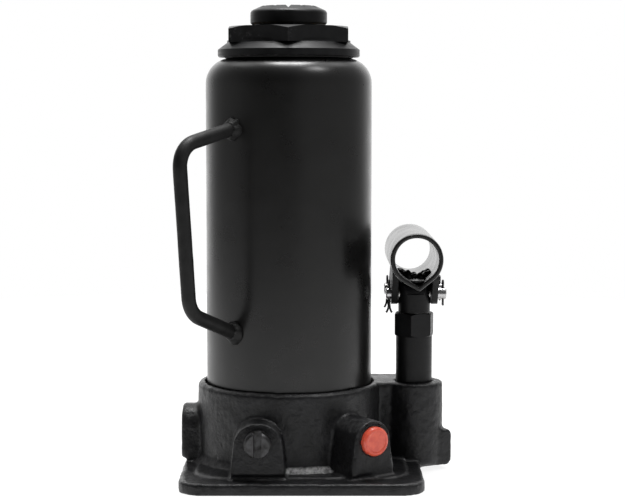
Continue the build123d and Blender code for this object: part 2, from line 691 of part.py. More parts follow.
def valves():
    """The check balls, springs, screws and plugs in the base's passages."""
    outward = compass(SAFETY_ANGLE)
    outlet_plane = Plane(origin=(OUTLET_X, 0, OUTLET_SEAT_Z + 5.75))
    return {
        "inlet_ball": valve_ball((PUMP_X, 0, INLET_SEAT_Z), (0, 0, 1)),
        "outlet_ball": valve_ball((OUTLET_X, 0, OUTLET_SEAT_Z), (0, 0, 1)),
        "outlet_spring": coil(1.9, 0.35, 4.0, 4.5, outlet_plane),
        "outlet_retainer": ring(1.5, PLUG_RADIUS, OUTLET_STEP_Z, WELL_FLOOR, OUTLET_X),
        "suction_filter": suction_filter(),
        "suction_port_plug": rod((71.0, 3.42, SUCTION_Z), (74.6, 4.79, SUCTION_Z), 1.98),
        "side_port_plug": socket_plug(),
        "release_ball": valve_ball((RELEASE_X, RELEASE_SEAT_Y, RELEASE_Z), (0, -1, 0)),
        "release_screw": release_screw(),
        "safety_ball": valve_ball(safety_point(SAFETY_SEAT_DEPTH), (*outward, 0)),
        "safety_guide": safety_guide(),
        "safety_spring": coil(2.5, 0.5, 11.9, 7, facing(safety_point(SAFETY_SEAT_DEPTH - 8.45), outward)),
        "safety_adjuster": safety_adjuster(),
        "safety_cap": safety_cap(),
    }


def lever_parts():
    """The lever socket, its link and every pin, washer and split pin on them."""
    return {
        "handle_socket": handle_socket(),
        "bracket_ears": bracket_ears(),
        "plunger_pin": cross_pin(0.0),
        "fulcrum_pin": cross_pin(PIN_SPACING),
        "pin_cotters": pin_cotters(),
        "pin_washers": pin_washers(),
        "fulcrum_spacer": fulcrum_spacer(),
        "left_link_plate": link_plate(-1),
        "right_link_plate": link_plate(1),
        "link_foot_pin": link_foot_pin(),
        "link_foot_clips": link_foot_clips(),
    }


def build_nodes():
    """Every node of the jack, by name."""
    return {
        "base_casting": base_casting(),
        "pressure_cylinder": pressure_cylinder(),
        "reservoir_tank": reservoir_tank(),
        "top_nut": top_nut(),
        "carry_handle": carry_handle(),
        "handle_welds": handle_welds(),
        "filler_plug": filler_plug(),
        "ram": ram(),
        "extension_screw": extension_screw(),
        "screw_stop_ring": ring(8.05, SCREW_BORE_RADIUS - 0.08, 106.0, SPIGOT_TOP - 0.1),
        "stop_ring_circlip": stop_ring_circlip(),
        "pump_cylinder": pump_cylinder(),
        "pump_plunger": pump_plunger(),
        **seals(),
        **valves(),
        **lever_parts(),
    }


if __name__ == "__main__":
    os.makedirs("parts", exist_ok=True)
    for name, shape in build_nodes().items():
        export_step(shape, f"parts/{name}.step")
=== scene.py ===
import json
import math

import bmesh
import bpy
import numpy as np
from mathutils import Matrix, Vector, noise


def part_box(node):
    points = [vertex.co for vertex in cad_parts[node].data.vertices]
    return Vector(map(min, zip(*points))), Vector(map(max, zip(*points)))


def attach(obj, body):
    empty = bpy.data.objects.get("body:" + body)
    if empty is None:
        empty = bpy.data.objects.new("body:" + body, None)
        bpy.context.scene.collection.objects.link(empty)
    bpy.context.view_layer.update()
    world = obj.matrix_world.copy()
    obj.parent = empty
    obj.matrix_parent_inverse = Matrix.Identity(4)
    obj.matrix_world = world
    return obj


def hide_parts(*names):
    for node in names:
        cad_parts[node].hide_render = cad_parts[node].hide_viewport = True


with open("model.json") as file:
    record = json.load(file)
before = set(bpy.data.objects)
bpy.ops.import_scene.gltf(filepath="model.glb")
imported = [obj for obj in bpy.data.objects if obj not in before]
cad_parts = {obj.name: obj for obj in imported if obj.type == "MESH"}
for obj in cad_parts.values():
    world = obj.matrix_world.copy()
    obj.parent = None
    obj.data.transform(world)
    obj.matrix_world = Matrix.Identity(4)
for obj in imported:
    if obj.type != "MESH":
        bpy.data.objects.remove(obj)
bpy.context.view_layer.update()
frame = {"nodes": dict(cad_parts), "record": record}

# A hydraulic bottle jack. Everything is in metres, in the frame of the CAD model: +Z is up along
# the ram, the pump stands at +X, and the lever socket opens towards -Y, the front. Profiles, and the
# sizes that go into them, are in millimetres, which MM turns into metres.

MM = 0.001


# ---------------------------------------------------------------- places read from the frame

def centre(node):
    """The middle of a CAD node's box."""
    low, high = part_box(node)
    return (low + high) / 2


def half_width(node):
    """Half of a CAD node's size along X, which is its radius if it is round."""
    low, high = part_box(node)
    return (high.x - low.x) / 2


TANK_LOW, TANK_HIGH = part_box("reservoir_tank")
TANK_RADIUS = half_width("reservoir_tank")
SOCKET_LOW, SOCKET_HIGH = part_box("handle_socket")
SOCKET_RADIUS = half_width("handle_socket")
SOCKET_X = centre("handle_socket").x
SOCKET_Z = SOCKET_HIGH.z - SOCKET_RADIUS


# ---------------------------------------------------------------- mesh helpers

ARC_STEP = 9.0  # degrees between two points of a rounded corner


def piece_from(name, verts, faces):
    """A new mesh object from points and faces, with its normals facing out."""
    mesh = bpy.data.meshes.new(name)
    mesh.from_pydata([tuple(v) for v in verts], [], faces)
    bm = bmesh.new()
    bm.from_mesh(mesh)
    bmesh.ops.recalc_face_normals(bm, faces=bm.faces)
    bm.to_mesh(mesh)
    bm.free()
    piece = bpy.data.objects.new(name, mesh)
    bpy.context.scene.collection.objects.link(piece)
    return piece


def smooth(piece, angle=35.0):
    """Smooth shading, with edges sharper than angle kept sharp."""
    mesh = piece.data
    mesh.shade_smooth()
    mesh.set_sharp_from_angle(angle=math.radians(angle))


def grid_faces(rows, columns, close_rows=False, close_columns=True, cap=False):
    """Quads over a grid of points that is stored row by row."""
    faces = []
    for i in range(rows if close_rows else rows - 1):
        for j in range(columns if close_columns else columns - 1):
            row = i * columns
            after = (i + 1) % rows * columns
            right = (j + 1) % columns
            faces.append((row + j, row + right, after + right, after + j))
    if cap:
        faces.append(tuple(reversed(range(columns))))
        faces.append(tuple((rows - 1) * columns + j for j in range(columns)))
    return faces


def corner_arc(here, before, after, radius):
    """Points of the arc that rounds a corner, whose sides run from it along before and after."""
    turn = math.pi - before.angle(after)
    if radius <= 0 or turn < 1e-4:
        return [here]
    back = radius * math.tan(turn / 2)
    start = here + before.normalized() * back
    inward = (before.normalized() + after.normalized()).normalized()
    middle = here + inward * radius / math.cos(turn / 2)
    first = start - middle
    side = -1 if first.x * before.y - first.y * before.x > 0 else 1
    steps = max(2, round(math.degrees(turn) / ARC_STEP))
    points = []
    for k in range(steps + 1):
        swing = side * turn * k / steps
        c, s = math.cos(swing), math.sin(swing)
        points.append(middle + Vector((first.x * c - first.y * s, first.x * s + first.y * c)))
    return points


def rounded_outline(corners, step=None):
    """Points round a closed outline of (u, v, radius) corners in millimetres. Each corner is an arc
    of its radius, and straight runs are divided every step."""
    points = []
    for index, (u, v, radius) in enumerate(corners):
        here = Vector((u, v))
        before = Vector(corners[index - 1][:2]) - here
        after = Vector(corners[(index + 1) % len(corners)][:2]) - here
        points += corner_arc(here, before, after, radius)
    if step is None:
        return points
    divided = []
    for index, point in enumerate(points):
        following = points[(index + 1) % len(points)]
        parts = max(1, round((following - point).length / step))
        divided += [point.lerp(following, k / parts) for k in range(parts)]
    return divided


def lathe(name, corners, origin=(0, 0, 0), axis=(0, 0, 1), segments=128, step=None, shape=None):
    """A closed body turned about an axis from (radius, height, rounding) corners in millimetres.
    shape(point) may move each point, in metres, before it is placed."""
    outline = rounded_outline(corners, step)
    turn = Vector((0, 0, 1)).rotation_difference(Vector(axis)).to_matrix()
    verts = []
    for point in outline:
        for k in range(segments):
            swing = 2 * math.pi * k / segments
            spot = Vector((point.x * math.cos(swing), point.x * math.sin(swing), point.y)) * MM
            if shape:
                spot = shape(spot)
            verts.append(turn @ spot + Vector(origin))
    piece = piece_from(name, verts, grid_faces(len(outline), segments, close_rows=True))
    weld(piece, 1e-6)
    return piece


def weld(piece, distance):
    """Merges points that are closer than distance, and turns the normals outwards."""
    bm = bmesh.new()
    bm.from_mesh(piece.data)
    bmesh.ops.remove_doubles(bm, verts=bm.verts, dist=distance)
    bmesh.ops.recalc_face_normals(bm, faces=bm.faces)
    bm.to_mesh(piece.data)
    bm.free()


def tube(name, path, radius, sides=20, shape=None):
    """A round bar along a path of points, with closed ends. shape(point, station) gives a factor
    on the radius."""
    verts = []
    tangent = (path[1] - path[0]).normalized()
    across = tangent.orthogonal().normalized()
    for index, point in enumerate(path):
        ahead = path[min(index + 1, len(path) - 1)] - path[max(index - 1, 0)]
        new_tangent = ahead.normalized()
        across = tangent.rotation_difference(new_tangent) @ across
        tangent = new_tangent
        other = tangent.cross(across)
        for k in range(sides):
            swing = 2 * math.pi * k / sides
            out = across * math.cos(swing) + other * math.sin(swing)
            grow = shape(point + out * radius, index / (len(path) - 1)) if shape else 1.0
            verts.append(point + out * radius * grow)
    return piece_from(name, verts, grid_faces(len(path), sides, cap=True))


def joined(name, pieces):
    """One object from several."""
    bm = bmesh.new()
    for piece in pieces:
        bm.from_mesh(piece.data)
    mesh = bpy.data.meshes.new(name)
    bm.to_mesh(mesh)
    bm.free()
    for piece in pieces:
        bpy.data.objects.remove(piece)
    result = bpy.data.objects.new(name, mesh)
    bpy.context.scene.collection.objects.link(result)
    return result


def cad_copy(node, name):
    """A clean copy of a CAD node's mesh: welded, with its flat faces whole again."""
    source = frame["nodes"][node].data
    piece = piece_from(name, [v.co for v in source.vertices], [tuple(p.vertices) for p in source.polygons])
    weld(piece, 2e-6)
    bm = bmesh.new()
    bm.from_mesh(piece.data)
    bmesh.ops.dissolve_limit(bm, angle_limit=math.radians(1.0), verts=bm.verts, edges=bm.edges)
    bm.to_mesh(piece.data)
    bm.free()
    return piece


def soften(piece, width, segments=3, angle=32.0):
    """Rounds a piece's sharp edges."""
    bevel = piece.modifiers.new("soft_edges", "BEVEL")
    bevel.width = width * MM
    bevel.segments = segments
    bevel.limit_method = "ANGLE"
    bevel.angle_limit = math.radians(angle)
    bevel.miter_outer = "MITER_ARC"
    piece.data.shade_smooth()
    normals = piece.modifiers.new("face_normals", "WEIGHTED_NORMAL")
    normals.keep_sharp = False


def applied(piece):
    """The piece with its modifiers made part of its mesh."""
    graph = bpy.context.evaluated_depsgraph_get()
    mesh = bpy.data.meshes.new_from_object(piece.evaluated_get(graph))
    piece.modifiers.clear()
    piece.data = mesh
    return piece


def lumps(point, size, octaves=3):
    """Smooth noise between about -1 and 1, with lumps of about size millimetres."""
    return noise.fractal(Vector(point) / (size * MM), 0.9, 2.1, octaves, noise_basis="PERLIN_ORIGINAL")


def displace(piece, amount):
    """Moves each vertex along its normal by amount(point, normal) millimetres."""
    mesh = piece.data
    points = [v.co.copy() for v in mesh.vertices]
    normals = [v.normal.copy() for v in mesh.vertices]
    for vertex, point, normal in zip(mesh.vertices, points, normals):
        vertex.co = point + normal * amount(point, normal) * MM
    mesh.update()


# ---------------------------------------------------------------- materials

class Finish:
    """Builds one node material. Sizes are in millimetres on the object."""

    def __init__(self, name, color, roughness, metallic=0.0, specular=0.5, coat=0.0, coat_roughness=0.1):
        self.material = bpy.data.materials.new(name)
        self.material.use_nodes = True
        self.tree = self.material.node_tree
        self.tree.nodes.clear()
        out = self.tree.nodes.new("ShaderNodeOutputMaterial")
        self.shader = self.tree.nodes.new("ShaderNodeBsdfPrincipled")
        self.tree.links.new(self.shader.outputs["BSDF"], out.inputs["Surface"])
        self.shader.inputs["Base Color"].default_value = (*color, 1)
        self.shader.inputs["Roughness"].default_value = roughness
        self.shader.inputs["Metallic"].default_value = metallic
        self.shader.inputs["Specular IOR Level"].default_value = specular
        self.shader.inputs["Coat Weight"].default_value = coat
        self.shader.inputs["Coat Roughness"].default_value = coat_roughness
        self.coords = self.tree.nodes.new("ShaderNodeTexCoord").outputs["Object"]

    def link(self, source, socket):
        self.tree.links.new(source, socket)

    def noise(self, size, detail=3.0, rough=0.55, stretch=(1, 1, 1), offset=0.0):
        """Noise with features of about size millimetres."""
        place = self.tree.nodes.new("ShaderNodeMapping")
        place.inputs["Scale"].default_value = tuple(1000.0 / size / s for s in stretch)
        place.inputs["Location"].default_value = (offset, offset * 1.7, -offset)
        texture = self.tree.nodes.new("ShaderNodeTexNoise")
        texture.inputs["Scale"].default_value = 1.0
        texture.inputs["Detail"].default_value = detail
        texture.inputs["Roughness"].default_value = rough
        self.link(self.coords, place.inputs["Vector"])
        self.link(place.outputs["Vector"], texture.inputs["Vector"])
        return texture.outputs["Fac"]

    def upward(self, low, high):
        """0 to 1 as the surface turns upwards, from a normal with z at low to one with z at high."""
        split = self.tree.nodes.new("ShaderNodeSeparateXYZ")
        geometry = self.tree.nodes.new("ShaderNodeNewGeometry")
        self.tree.links.new(geometry.outputs["Normal"], split.inputs[0])
        return self.span(split.outputs["Z"], low, high)

    def near(self, spot, reach, full):
        """1 within full millimetres of a spot on the object, and 0 beyond reach."""
        position = self.tree.nodes.new("ShaderNodeNewGeometry").outputs["Position"]
        distance = self.tree.nodes.new("ShaderNodeVectorMath")
        distance.operation = "DISTANCE"
        self.tree.links.new(position, distance.inputs[0])
        distance.inputs[1].default_value = spot
        return self.span(distance.outputs["Value"], reach * MM, full * MM)

    def edges(self):
        """How convex the surface is, from Cycles' pointiness."""
        return self.tree.nodes.new("ShaderNodeNewGeometry").outputs["Pointiness"]

    def rubbed(self, sharp, patches, size, detail=4.0, offset=0.0):
        """1 in patches of about size millimetres along the edges. It rises over the range sharp of
        the pointiness, and over the range patches of the noise."""
        edge = self.span(self.edges(), *sharp)
        patch = self.span(self.noise(size, detail, 0.7, offset=offset), *patches)
        return self.math("MULTIPLY", edge, patch)

    def span(self, value, low, high, to_low=0.0, to_high=1.0):
        """Maps a value's range low..high to to_low..to_high, clamped."""
        node = self.tree.nodes.new("ShaderNodeMapRange")
        self.link(value, node.inputs["Value"])
        for key, number in (("From Min", low), ("From Max", high), ("To Min", to_low), ("To Max", to_high)):
            node.inputs[key].default_value = number
        return node.outputs["Result"]

    def math(self, operation, a, b):
        node = self.tree.nodes.new("ShaderNodeMath")
        node.operation = operation
        for socket, value in zip(node.inputs, (a, b)):
            if isinstance(value, (int, float)):
                socket.default_value = value
            else:
                self.link(value, socket)
        return node.outputs[0]

    def blend(self, factor, first, second):
        """Mixes two colours, each a colour or an output."""
        node = self.tree.nodes.new("ShaderNodeMix")
        node.data_type = "RGBA"
        self.link(factor, node.inputs["Factor"])
        for socket, value in ((node.inputs[6], first), (node.inputs[7], second)):
            if isinstance(value, tuple):
                socket.default_value = (*value, 1)
            else:
                self.link(value, socket)
        return node.outputs[2]

    def bump(self, *layers):
        """Adds bump layers of (height output, depth in millimetres)."""
        previous = None
        for height, depth in layers:
            node = self.tree.nodes.new("ShaderNodeBump")
            node.inputs["Strength"].default_value = 1.0
            node.inputs["Distance"].default_value = depth * MM
            self.link(height, node.inputs["Height"])
            if previous:
                self.link(previous, node.inputs["Normal"])
            previous = node.outputs["Normal"]
        self.link(previous, self.shader.inputs["Normal"])

    def color(self, source):
        self.link(source, self.shader.inputs["Base Color"])

    def roughness(self, source):
        self.link(source, self.shader.inputs["Roughness"])


# A painted highlight brightens the slope round the foot of the ring between the two bosses in front.
PAINTED_HIGHLIGHT_SPOT = (0.006, -0.049, 0.008)
RING_FOOT = (0, 0, 0.008)


def casting_finish():
    """Semi-gloss black paint, thick and uneven over rough-cast iron, chipped on its edges; upward slopes
    are painted lighter, and a painted highlight brightens the slope round the ring's foot in front.
    """
    f = Finish("black_casting", (0.011, 0.011, 0.012), 0.4, specular=0.36)
    grain = f.noise(0.8, 4.0, 0.65)
    swell = f.noise(6.0, 3.0)
    crust = f.noise(2.0, 4.0, 0.62, offset=7)
    worn = f.rubbed((0.525, 0.58), (0.50, 0.62), 2.4)
    chips = f.rubbed((0.54, 0.60), (0.60, 0.66), 3.6, 3.0, offset=3)
    paint = f.blend(f.span(swell, 0.35, 0.7), (0.0050, 0.0050, 0.0055), (0.011, 0.011, 0.0125))
    paint = f.blend(f.span(grain, 0.60, 0.75), paint, (0.024, 0.024, 0.026))
    # Painted light: slopes that face upwards get a lighter colour, patchy with noise.
    slopes = f.math("MULTIPLY", f.upward(0.35, 0.62), f.upward(0.995, 0.93))
    painted_slope_light = f.math("MULTIPLY", slopes, f.span(f.noise(2.2, 4.0, 0.65, offset=11), 0.38, 0.62, 0.25, 1.0))
    # Painted highlight: a bright grey on those slopes, near the ring's foot in front.
    painted_foot_highlight = f.math("MULTIPLY", f.near(PAINTED_HIGHLIGHT_SPOT, 30.0, 18.0), f.near(RING_FOOT, 50.0, 49.0))
    painted_foot_highlight = f.math("MULTIPLY", painted_foot_highlight, painted_slope_light)
    paint = f.blend(painted_slope_light, paint, (0.055, 0.055, 0.056))
    paint = f.blend(painted_foot_highlight, paint, (0.48, 0.48, 0.48))
    paint = f.blend(worn, paint, (0.075, 0.075, 0.078))
    f.color(f.blend(chips, paint, (0.42, 0.42, 0.41)))
    f.roughness(f.span(f.math("ADD", grain, f.noise(9.0, offset=2)), 0.7, 1.3, 0.30, 0.52))
    f.bump((swell, 0.45), (crust, 0.30), (grain, 0.07))
    return f.material


def paint_finish():
    """Smooth satin black paint on drawn steel, with a fine orange peel and a little dust."""
    f = Finish("black_paint", (0.007, 0.007, 0.007), 0.32, specular=0.45)
    peel = f.noise(1.3, 2.0)
    dust = f.span(f.noise(0.35, 2.0, offset=3), 0.68, 0.80)
    tone = f.noise(30.0, 3.0, stretch=(1, 1, 2.5))
    shade = f.blend(tone, (0.0055, 0.0055, 0.0055), (0.0095, 0.0092, 0.0088))
    worn = f.rubbed((0.56, 0.66), (0.52, 0.68), 1.6)
    shade = f.blend(dust, shade, (0.022, 0.022, 0.021))
    f.color(f.blend(worn, shade, (0.07, 0.07, 0.07)))
    f.roughness(f.span(f.math("ADD", f.noise(14.0, 4.0, offset=9), dust), 0.3, 1.2, 0.26, 0.42))
    f.bump((f.noise(11.0, 2.0), 0.05), (peel, 0.010))
    return f.material


def dull_paint_finish():
    """Thick, duller black paint over rod and plate, rubbed thin on a few edges."""
    f = Finish("dull_black_paint", (0.009, 0.009, 0.009), 0.5, specular=0.25)
    skin = f.noise(2.2, 3.0)
    worn = f.rubbed((0.54, 0.62), (0.52, 0.66), 1.8)
    shade = f.blend(f.span(f.noise(6.0, 4.0), 0.35, 0.7), (0.0065, 0.0065, 0.0065), (0.013, 0.013, 0.013))
    f.color(f.blend(worn, shade, (0.07, 0.07, 0.07)))
    f.roughness(f.span(f.noise(7.0, 4.0, offset=5), 0.3, 0.7, 0.42, 0.60))
    f.bump((skin, 0.10), (f.noise(0.7, 2.0, offset=2), 0.02))
    return f.material


def black_steel_finish():
    """Machined steel with a black finish: faint tool marks, and edges rubbed to grey."""
    f = Finish("black_steel", (0.010, 0.010, 0.0105), 0.42, specular=0.28)
    marks = f.noise(0.5, 3.0, stretch=(30, 30, 1))
    patch = f.noise(5.0, 4.0)
    worn = f.rubbed((0.58, 0.68), (0.54, 0.70), 1.7)
    shade = f.blend(f.span(patch, 0.35, 0.7), (0.0025, 0.0025, 0.003), (0.0065, 0.0065, 0.007))
    f.color(f.blend(worn, shade, (0.10, 0.10, 0.10)))
    f.roughness(f.span(f.math("ADD", marks, patch), 0.7, 1.3, 0.34, 0.52))
    f.bump((patch, 0.05), (marks, 0.012))
    return f.material


def bare_metal_finish(name, color, roughness, tint, spread=0.1, marks=(6, 6, 1), depth=0.006):
    """Bare metal: brushed marks along one direction, with darker patches of tint."""
    f = Finish(name, color, roughness, metallic=1.0)
    brushed = f.noise(0.4, 3.0, stretch=marks)
    patch = f.noise(4.0, 4.0, 0.6)
    f.color(f.blend(f.span(patch, 0.4, 0.68), color, tint))
    f.roughness(f.span(f.math("ADD", brushed, patch), 0.7, 1.3, roughness - spread / 2, roughness + spread))
    f.bump((brushed, depth))
    return f.material


def soft_finish(name, color, patches, roughness):
    """Rubber or plastic: slightly mottled, with a fine moulded grain."""
    f = Finish(name, color, roughness)
    grain = f.noise(1.5, 3.0)
    f.color(f.blend(f.span(f.noise(3.5, 3.0, offset=5), 0.35, 0.7), color, patches))
    f.roughness(f.span(grain, 0.3, 0.7, roughness - 0.06, roughness + 0.08))
    f.bump((grain, 0.03))
    return f.material


def red_plastic_finish():
    """Coral-red moulded plastic with a soft gloss, with painted shade darkening its hollows."""
    f = Finish("red_plastic", (0.78, 0.10, 0.055), 0.34, coat=0.25, coat_roughness=0.25)
    f.shader.inputs["Subsurface Weight"].default_value = 0.15
    f.shader.inputs["Subsurface Radius"].default_value = (0.003, 0.0008, 0.0005)
    tone = f.blend(f.span(f.noise(2.5, 3.0), 0.35, 0.7), (0.83, 0.125, 0.065), (0.70, 0.075, 0.045))
    # Painted shade: the colour darkens where the surface is hollow.
    painted_hollow_shade = f.span(f.edges(), 0.40, 0.49, 0.8, 0.0)
    f.color(f.blend(painted_hollow_shade, tone, (0.25, 0.02, 0.02)))
    f.roughness(f.span(f.noise(1.1, 3.0, offset=2), 0.3, 0.7, 0.28, 0.42))
    f.bump((f.noise(1.6, 3.0), 0.03))
    return f.material


# For bare_metal_finish: the colour, the roughness, the colour of the patches and, where they aren't
# the usual ones, the spread of the roughness, and the stretch and the depth of the marks.
BARE_METALS = {
    "zinc_dark_steel": ((0.075, 0.075, 0.077), 0.42, (0.028, 0.027, 0.026)),
    "ground_steel": ((0.52, 0.52, 0.53), 0.26, (0.40, 0.39, 0.38)),
    "hard_chrome": ((0.62, 0.62, 0.64), 0.12, (0.55, 0.55, 0.56), 0.06, (9, 9, 1), 0.003),
    "spring_steel": ((0.30, 0.30, 0.31), 0.33, (0.20, 0.19, 0.18)),
    "bearing_steel": ((0.70, 0.70, 0.71), 0.10, (0.62, 0.62, 0.62), 0.04),
    "copper": ((0.72, 0.36, 0.22), 0.32, (0.48, 0.22, 0.14)),
    "bronze": ((0.58, 0.42, 0.20), 0.32, (0.42, 0.29, 0.14)),
    "brass_gauze": ((0.65, 0.52, 0.25), 0.40, (0.45, 0.36, 0.18), 0.1, (1, 1, 1), 0.02),
}
# For soft_finish: the colour, the colour of the patches and the roughness.
SOFT_MATERIALS = {
    "seal_rubber": ((0.022, 0.022, 0.022), (0.034, 0.033, 0.032), 0.62),
    "seal_polyurethane": ((0.55, 0.36, 0.10), (0.42, 0.26, 0.07), 0.38),
}
FINISHES = {
    "black_casting": casting_finish(),
    "black_paint": paint_finish(),
    "dull_black_paint": dull_paint_finish(),
    "black_steel": black_steel_finish(),
    "red_plastic": red_plastic_finish(),
}
FINISHES.update({slot: bare_metal_finish(slot, *look) for slot, look in BARE_METALS.items()})
FINISHES.update({slot: soft_finish(slot, *look) for slot, look in SOFT_MATERIALS.items()})
SLOT_OF = {part["node"]: part["material_slot"] for part in frame["record"]["subparts"]}
BODY_OF = {node: body for body, nodes in frame["record"]["behaviour"]["bodies"].items() for node in nodes}


def finish_piece(piece, node, replaces=True, slot=None):
    """Gives a piece the body and the finish of a CAD node, which it stands for, or another slot's
    finish."""
    slot = slot or SLOT_OF[node]
    piece.data.materials.clear()
    piece.data.materials.append(FINISHES[slot])
    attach(piece, BODY_OF[node])
    if replaces:
        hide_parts(node)
    return piece


# ---------------------------------------------------------------- the cast foot

SKIN_VOXEL = 0.85 * MM
SOLE_HEIGHT = 0.6 * MM
BOSS_FOOT = 7.0
BOSS_DRAFT = 0.06
RELEASE_FACE = Vector((0, -57.0 * MM, 0))
CAP_ANGLE = math.radians(32)
CAP_AXIS = Vector((math.sin(CAP_ANGLE), -math.cos(CAP_ANGLE), 0))
BOSS_FACES = ((RELEASE_FACE, Vector((0, -1, 0))), (centre("safety_cap"), CAP_AXIS))


def cast_skin(point, normal):
    """How far the skin stands off at a point, in millimetres: not at all on the sole, leaning back
    from the foot up on the faces of the two front bosses, and lumpy with a few pits elsewhere."""
    if point.z < SOLE_HEIGHT:
        return 0.0
    if point.z > BOSS_FOOT * MM:
        for face, direction in BOSS_FACES:
            if normal.dot(direction) > 0.75 and (point - face).dot(direction) > -0.4 * MM:
                return BOSS_DRAFT * (BOSS_FOOT - point.z / MM)
    flow = lumps(point, 8.0) * 0.17 + lumps(point + Vector((1, 0, 0)), 2.6, 2) * 0.09
    pits = max(0.0, lumps(point + Vector((0, 2, 0)), 3.4, 2) - 0.42) * 0.6
    return flow - pits


def cast_foot():
    """The casting, with every edge softened and the uneven skin of painted sand-cast iron."""
    piece = cad_copy("base_casting", "cast_foot")
    remesh = piece.modifiers.new("skin", "REMESH")
    remesh.mode = "VOXEL"
    remesh.voxel_size = SKIN_VOXEL
    applied(piece)
    relax(piece, 3)
    displace(piece, cast_skin)
    for vertex in piece.data.vertices:
        vertex.co.z = max(0.0, vertex.co.z)
    smooth(piece, 180)
    return finish_piece(piece, "base_casting")


def relax(piece, rounds):
    """Smooths a dense skin without shrinking it."""
    mesh = piece.data
    count = len(mesh.vertices)
    points = np.empty(count * 3)
    mesh.vertices.foreach_get("co", points)
    points = points.reshape(-1, 3)
    pairs = np.empty(len(mesh.edges) * 2, int)
    mesh.edges.foreach_get("vertices", pairs)
    a, b = pairs.reshape(-1, 2).T
    degree = np.bincount(a, minlength=count) + np.bincount(b, minlength=count)
    for _ in range(rounds):
        for pull in (0.55, -0.57):
            total = np.zeros_like(points)
            np.add.at(total, a, points[b])
            np.add.at(total, b, points[a])
            points += pull * (total / degree[:, None] - points)
    mesh.vertices.foreach_set("co", points.ravel())
    mesh.update()


# ---------------------------------------------------------------- tank, nut and carrying handle

TANK_WALL = 2.0
TANK_SHOULDER = 12.4
TANK_WAVE = 0.0012
FILLER_HOLE = 4.5
FILLER_PLACE = (0, TANK_RADIUS, centre("filler_plug").z)


def reservoir():
    """The drawn tank: a slightly wavy wall, a rounded shoulder and a hole for the filler plug."""
    low, high = TANK_LOW.z / MM, TANK_HIGH.z / MM
    outer = TANK_RADIUS / MM
    inner = outer - TANK_WALL
    hole = half_width("pressure_cylinder") / MM + 0.3
    corners = [
        (inner, low, 0), (outer, low, 0.3), (outer, high, TANK_SHOULDER), (hole, high, 0.4),
        (hole, high - TANK_WALL, 0), (inner, high - TANK_WALL, TANK_SHOULDER - TANK_WALL),
    ]

    def drawn(spot):
        wave = 1 + lumps((spot.x, spot.y, spot.z * 0.4), 26.0, 2) * TANK_WAVE
        return Vector((spot.x * wave, spot.y * wave, spot.z))

    piece = lathe("tank_shell", corners, segments=192, step=2.5, shape=drawn)
    drill_corners = [(0, -6, 0), (FILLER_HOLE, -6, 0), (FILLER_HOLE, 6, 0), (0, 6, 0)]
    drill = lathe("filler_drill", drill_corners, origin=FILLER_PLACE, axis=(0, 1, 0), segments=48)
    drilled = piece.modifiers.new("filler_hole", "BOOLEAN")
    drilled.object = drill
    drilled.solver = "EXACT"
    applied(piece)
    bpy.data.objects.remove(drill)
    smooth(piece, 35)
    return finish_piece(piece, "reservoir_tank")


def filler_plug():
    """The rubber plug at the back of the tank, with a ridge round its face."""
    top = (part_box("filler_plug")[1].y - TANK_RADIUS) / MM
    corners = [
        (0, -5, 0), (4.45, -5, 0.8), (4.45, -0.4, 0), (7.5, -0.9, 0), (7.5, top, 1.2), (4.6, top, 0.5),
        (4.2, top - 0.8, 0.4), (1.6, top - 0.8, 0.4), (1.2, top - 0.2, 0.3), (0, top - 0.2, 0),
    ]
    piece = lathe("filler_plug_face", corners, origin=FILLER_PLACE, axis=(0, 1, 0), segments=96)
    smooth(piece, 50)
    return finish_piece(piece, "filler_plug")


def nut():
    """The flanged hexagonal nut that closes the tank."""
    piece = cad_copy("top_nut", "flanged_nut")
    soften(piece, 0.45)
    return finish_piece(piece, "top_nut")


HANDLE_ROD = 3.4 * MM
HANDLE_TURN = math.radians(39.7)
HANDLE_CORNERS = ((39.5, 170.7), (78.3, 162.3), (71.6, 84.3), (39.5, 71.4))
HANDLE_BEND = 11.5
HANDLE_OUT = Vector((-math.sin(HANDLE_TURN), -math.cos(HANDLE_TURN), 0))


def in_handle_plane(radius, height):
    """A point in the carrying handle's upright plane, from millimetres."""
    return HANDLE_OUT * radius * MM + Vector((0, 0, height * MM))


def handle_path():
    """The centre line of the bent rod, with its two bends as arcs."""
    corners = [(*corner, HANDLE_BEND if 0 < i < 3 else 0.0) for i, corner in enumerate(HANDLE_CORNERS)]
    outline = rounded_outline(corners, step=2.0)
    last = min(range(len(outline)), key=lambda i: (outline[i] - Vector(HANDLE_CORNERS[-1])).length)
    return [in_handle_plane(p.x, p.y) for p in outline[:last + 1]]


def carry_handle():
    """The bent rod: its radius is slightly uneven along its length, as the paint on it is uneven."""
    def hammered(point, station):
        return 1 + lumps(point, 9.0, 2) * 0.022 + lumps(point, 2.5, 2) * 0.008

    piece = tube("bent_rod", handle_path(), HANDLE_ROD, sides=40, shape=hammered)
    smooth(piece, 50)
    return finish_piece(piece, "carry_handle")


# A bead's outline from the wall onto the rod: the radius round the rod, and the rise from the wall.
BEAD_PROFILE = (
    (3.0, -0.6), (5.0, -0.6), (5.3, 0.1), (5.1, 0.8), (4.7, 1.6), (4.3, 2.3), (3.95, 3.0),
    (3.7, 3.6), (3.0, 3.9),
)
BEAD_SIDES = 72


def reach_to_wall(spot, away):
    """How many times away leads from a spot inside the tank to the outside of its wall."""
    flat = Vector((away.x, away.y))
    level = Vector((spot.x, spot.y))
    a, b, c = flat.dot(flat), 2 * level.dot(flat), level.dot(level) - TANK_RADIUS ** 2
    return (-b + math.sqrt(max(0.0, b * b - 4 * a * c))) / (2 * a)


